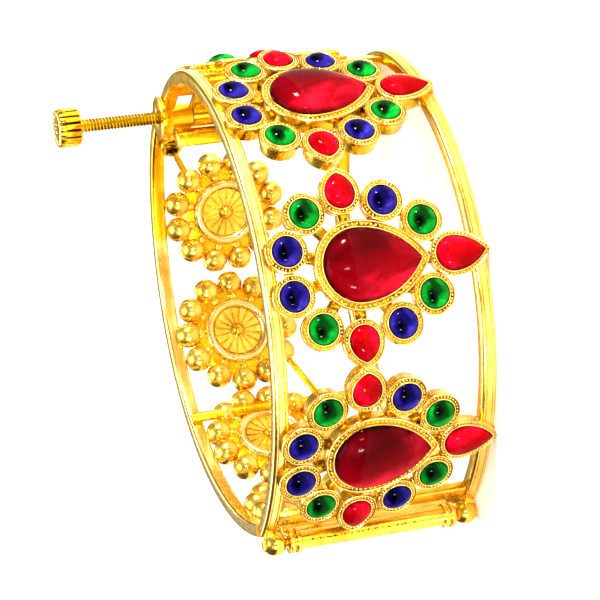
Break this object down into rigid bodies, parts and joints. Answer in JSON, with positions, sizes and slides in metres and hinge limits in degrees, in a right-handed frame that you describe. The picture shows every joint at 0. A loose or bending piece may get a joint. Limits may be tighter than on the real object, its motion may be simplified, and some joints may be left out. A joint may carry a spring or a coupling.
{
  "type": "hinged stone-set bangle with screw closure",
  "caption": "Rigid hinged bangle: two lens-shaped halves of gilt rails, pear-stone medallions in front, ball flowers behind, barrel hinge and a milled screw at the closure.",
  "frame": {"origin": "under the middle of the overall box, on the surface that the bangle lies on", "axes": "+X runs from the hinge to the closure, -Y faces the stone-set front half, +Z runs along the wrist toward the screw head"},
  "size_m": [0.0737, 0.0603, 0.0487],
  "materials": {
    "gold": "bright polished yellow gold plate on cast brass",
    "ruby_glass": "smooth domed deep crimson glass, foil backed",
    "red_glass": "smooth domed bright red glass, foil backed",
    "green_glass": "smooth domed emerald glass, foil backed",
    "blue_glass": "smooth domed ultramarine glass, foil backed"
  },
  "bodies": {
    "back_half": {"back_upper_rail": "gold", "back_lower_rail": "gold", "back_hinge_bar": "gold", "back_crossbar": "gold", "back_closure_bar": "gold", "latch_cup": "gold", "back_side_strut": "gold", "flower_one": "gold", "flower_two": "gold", "flower_three": "gold", "flower_four": "gold", "hinge_pin": "gold"},
    "front_half": {"front_upper_rail": "gold", "front_lower_rail": "gold", "front_hinge_plate": "gold", "front_closure_plate": "gold", "medallion_one": "gold", "medallion_two": "gold", "medallion_three": "gold", "half_medallion": "gold", "large_ruby_one": "ruby_glass", "large_ruby_two": "ruby_glass", "large_ruby_three": "ruby_glass", "side_ruby_one": "red_glass", "side_ruby_two": "red_glass", "side_ruby_three": "red_glass", "red_drop_one_low": "red_glass", "red_drop_one_high": "red_glass", "red_drop_two_low": "red_glass", "red_drop_two_high": "red_glass", "red_drop_three_low": "red_glass", "red_drop_three_high": "red_glass", "red_drop_half": "red_glass", "greens_one": "green_glass", "greens_two": "green_glass", "greens_three": "green_glass", "green_half": "green_glass", "blues_one": "blue_glass", "blues_two": "blue_glass", "blues_three": "blue_glass"},
    "screw": {"closure_screw": "gold"}
  },
  "joints": [
    {"name": "bangle_hinge", "type": "hinge", "parent": "back_half", "child": "front_half", "pos_m": [-0.03517, 0.00174, 0.01625], "axis": [0, 0, -1], "range_deg": [0, 75]},
    {"name": "screw_travel", "type": "slide", "parent": "back_half", "child": "screw", "axis": [0, 0, -1], "range_m": [-0.003, 0.012]}
  ]
}
